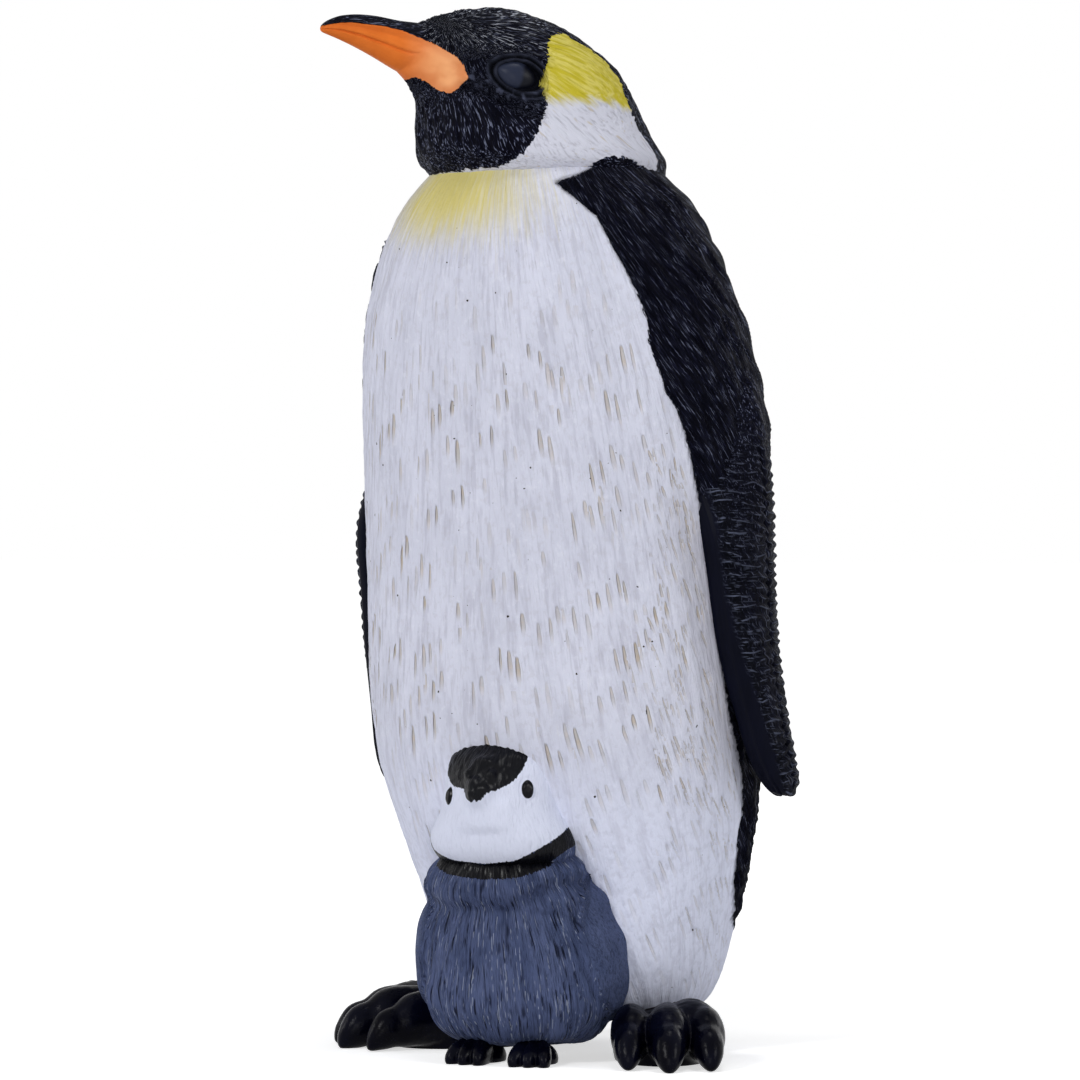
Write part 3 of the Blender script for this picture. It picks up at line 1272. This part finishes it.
# Strands are measured along the surface, or they would shrink to dots where it turns in under the belly.
table = np.array(chick_rows)
rise = np.hypot(np.diff(table[:, 0]), np.diff(table[:, 2]))
chick_along = np.interp(chick_high, table[:, 0], np.append(0, np.cumsum(rise)))
down_lie = columns(
    down_radius * np.cos(down_turn),
    down_radius * np.sin(down_turn) + on_wing * (chick_high - 24) * 0.35,
    chick_along,
)
keep(chick, "lie", down_lie)
keep(chick, "wing", on_wing)
fluff = grain(down_lie, (0.9, 0.9, 7), 52) * 0.34 + grain(down_lie, (2.4, 2.4, 8), 53) * 0.5
nick = smooth(grain(down_lie, (0.55, 0.55, 5.0), 54), 0.36, 0.6)
raise_by(chick, (fluff - 0.35 * nick) * (1 - 0.75 * on_wing))
keep(chick, "nick", nick * (1 - on_wing))

# %% Collar
collar_edge = [
    (-200, 56), (-100, 54), (-75, 52), (-55, 48.2), (-30, 46.2), (0, 45.6), (25, 46.4), (50, 50),
    (75, 53), (100, 55), (200, 56), (200, 50), (100, 50), (72, 48.8), (50, 45.0), (25, 42.8), (0, 42.2),
    (-30, 42.9), (-55, 44.6), (-80, 47), (-110, 49), (-200, 50),
]  # fmt: skip
chick_flat = 17.0  # the radius at which the chick's outlines are laid flat


def inside_on_chick(degrees, high, outline):
    flat = columns(np.radians(degrees) * chick_flat, high)
    return inside_by(flat, unrolled(outline, radius=chick_flat))


keep(chick, "collar_by", inside_on_chick(chick_round, chick_high, collar_edge))
for layer in ("white_by", "cap_by", "eye_by"):
    keep(chick, layer, np.full(len(chick_high), far_outside))

# %% [markdown]
# ## Chick paint
#
# Grey down with darker nicks, a white face, a black cap that runs into the beak, two black eye spots and
# a collar. Body and head share one recipe, so the collar crosses from one to the other without a step.

# %% Chick paint


def chick_finish(name):
    sheet = Sheet(name)
    lie = sheet.kept("lie", "Vector")
    off_wing = 1 - sheet.kept("wing")
    strand = sheet.noise(lie, (0.36, 0.36, 5), rough=0.6)
    patch = sheet.noise(lie, (5, 5, 9), 1.0)
    slit = sheet.step(sheet.noise(lie, (0.60, 0.60, 7.0), 1.0), 0.36, 0.30) * (0.1 + 0.9 * off_wing)
    line = sheet.step(sheet.noise(lie, (0.36, 0.36, 9.0), 1.0), 0.61, 0.66)
    dash = sheet.step(sheet.noise(lie, (0.34, 0.34, 1.6), 0.0), 0.46, 0.58)
    grey = sheet.over(
        tint(75, 86, 121),
        (sheet.step(patch, 0.3, 0.7), tint(90, 101, 138)),
        (sheet.step(strand, 0.50, 0.34) * 0.5, tint(38, 43, 64)),
        (slit * 0.85, tint(13, 15, 28)),
        (sheet.kept("nick") * 0.75, tint(18, 21, 38)),
        (line * dash * off_wing * 0.7, tint(160, 168, 192)),
    )
    soft = sheet.noise(lie, (0.5, 0.5, 4))
    white = sheet.mix(sheet.step(soft, 0.48, 0.26) * 0.3, tint(217, 221, 239), tint(188, 191, 210))
    black = sheet.mix(strand, tint(2, 2, 6), tint(8, 9, 16))
    jag = sheet.noise(lie, (0.6, 0.6, 1.2)) - 0.5
    white_mask = sheet.covered("white_by", jag * 0.9)
    eye_mask = sheet.covered("eye_by", jag * 0.1)
    uncovered = (1 - sheet.covered("collar_by", jag * 1.1)) * (1 - sheet.covered("cap_by", jag * 1.1))
    black_mask = 1 - uncovered * (1 - eye_mask)
    color = sheet.over(grey, (white_mask, white), (black_mask, black))
    roughness = 0.5 + strand * 0.1 - black_mask * 0.2 - eye_mask * 0.1
    height = blend(white_mask, soft * 0.3, strand * 1.2 - slit * 0.3) * (1 - eye_mask)
    return sheet.finish(color, roughness, height, 1.0, coat=black_mask * 0.14)


def set_chick(piece):
    settle(piece, chick_turn, (chick_x, chick_y, 0))


set_chick(chick)
dress(chick, "chick_body", chick_finish("chick_paint"))

# %% [markdown]
# ## The chick's head
#
# A broad white face like a bib, pushed up against the adult's belly. The beak is only a small black nub,
# and below it the face swells into a soft mound.

# %% Chick head form
chick_head_rows = [
    (42.5, -6.8, 12.0, 11.0), (45.2, -7.6, 14.8, 14.2), (48.5, -8.8, 16.4, 15.8), (53, -9.4, 16.0, 15.8),
    (58, -9.6, 14.4, 15.0), (63.5, -9.4, 13.6, 14.2), (68.6, -8.8, 12.8, 12.2), (72.0, -8.2, 9.6, 8.6),
    (73.6, -8, 4.2, 3.6),
]  # fmt: skip
chick_head = ring_form("chick_face", upright(chick_head_rows), sides=24, crowd=0.3)
points, turned = around(chick_head, chick_head_rows)
turn, high = np.degrees(turned), points[:, 2]
mound = 1.3 * np.exp(-((turn / 27) ** 4) - ((high - 56.4) / 3.5) ** 4)
smile = 0.2 * bell(high, 52.4 + (turn / 30) ** 2 * 1.6, 0.8) * bell(turn, 0, 22)
nub = 5.0 * bell(turn, -2, 11) * bell(high, 61.2, 2.3)
bridge = 2.2 * bell(turn, -2, 15) * between(high, 61, 64, 67, 71)
nostril = hills(turn, (1.5, 9, 3.6), (1.5, -13, 3.6)) * bell(high, 65.0, 1.0)
eye_level = 61.4 + 0.9 * np.sign(turn)  # the head is cocked a little
eye_off = np.hypot((np.abs(turn) - 42) * 0.30, (high - eye_level) * 0.86)
eye_bead = 0.55 * (1 - smooth(eye_off, 0.9, 1.9)) - 0.25 * bell(eye_off, 2.2, 0.4)
jowl = 0.8 * bell(high, 50.5, 3.5) * between(np.abs(turn), 10, 40, 70, 95)
raise_by(chick_head, mound - smile + nub + bridge + nostril + eye_bead + jowl)

# %% Chick head paint areas
cap_edge = [
    (-90, 77), (-82, 71.2), (-72, 69.0), (-57, 65.6), (-39, 62.8), (-19, 62.2), (-12, 60.6),
    (-4, 59.2), (3, 59.6), (9, 61.6), (20, 62.8), (29, 64.3), (36, 66.6), (42, 69.4), (57, 71.6),
    (70, 77),
]  # fmt: skip
face_edge = [
    (-220, 80), (-220, 54.6), (-100, 54.2), (-75, 52), (-55, 48.2), (-30, 46.2), (0, 45.6),
    (25, 46.4), (50, 50), (75, 53), (100, 54.8), (220, 54.6), (220, 80),
]  # fmt: skip
cap_by = inside_on_chick(turn, high, cap_edge)
face_lie = columns(np.radians(turn) * 16, high * 0.2, high)
face_tuft = grain(face_lie, (1.0, 1.0, 4), 61) * 0.12 * (1 - 0.6 * np.exp(-((turn / 40) ** 4)))
cap_tuft = grain(face_lie, (1.2, 1.2, 2), 62) * 0.3 * smooth(cap_by, -0.5, 0.5)
raise_by(chick_head, face_tuft + cap_tuft)
keep(chick_head, "lie", face_lie)
for layer in ("nick", "wing"):
    keep(chick_head, layer, np.zeros(len(high)))
keep(chick_head, "collar_by", inside_on_chick(turn, high, collar_edge))
keep(chick_head, "white_by", inside_on_chick(turn, high, face_edge))
keep(chick_head, "cap_by", cap_by)
keep(chick_head, "eye_by", 1.75 - eye_off)
set_chick(chick_head)
dress(chick_head, "chick_head", chick_finish("chick_face_paint"))

# %% [markdown]
# ## The chick's feet
#
# Two small feet peep out under the down, each with three short toes.

# %% Chick feet
chick_toe_rows = [
    (0, 1.6, 2.8, 1.7), (0.25, 2.2, 3.6, 2.1), (0.5, 2.2, 3.6, 2.2), (0.7, 1.9, 3.2, 2.0),
    (0.86, 1.5, 2.5, 1.6), (1, 1.0, 0.9, 0.7),
]  # fmt: skip
foot_parts = [ball("chick_pad", (0, -3, 1), (4.6, 6, 3.8))]
for number, spread in enumerate((-17, 0, 17)):
    toe = toe_form(f"chick_toe_{number}", chick_toe_rows, aside=0, start=1, length=13.4, turn=spread, size=1)
    foot_parts.append(toe)
chick_foot = melt(foot_parts, "chick_left_toes", voxel=0.3, smoothing=2)
settle(chick_foot, 8, (6.0, -3.6, 0))
other_chick_foot = mirror_image(chick_foot, "chick_right_toes")
for piece, node in ((chick_foot, "chick_left_foot"), (other_chick_foot, "chick_right_foot")):
    set_chick(piece)
    dress(piece, node, foot_gloss)
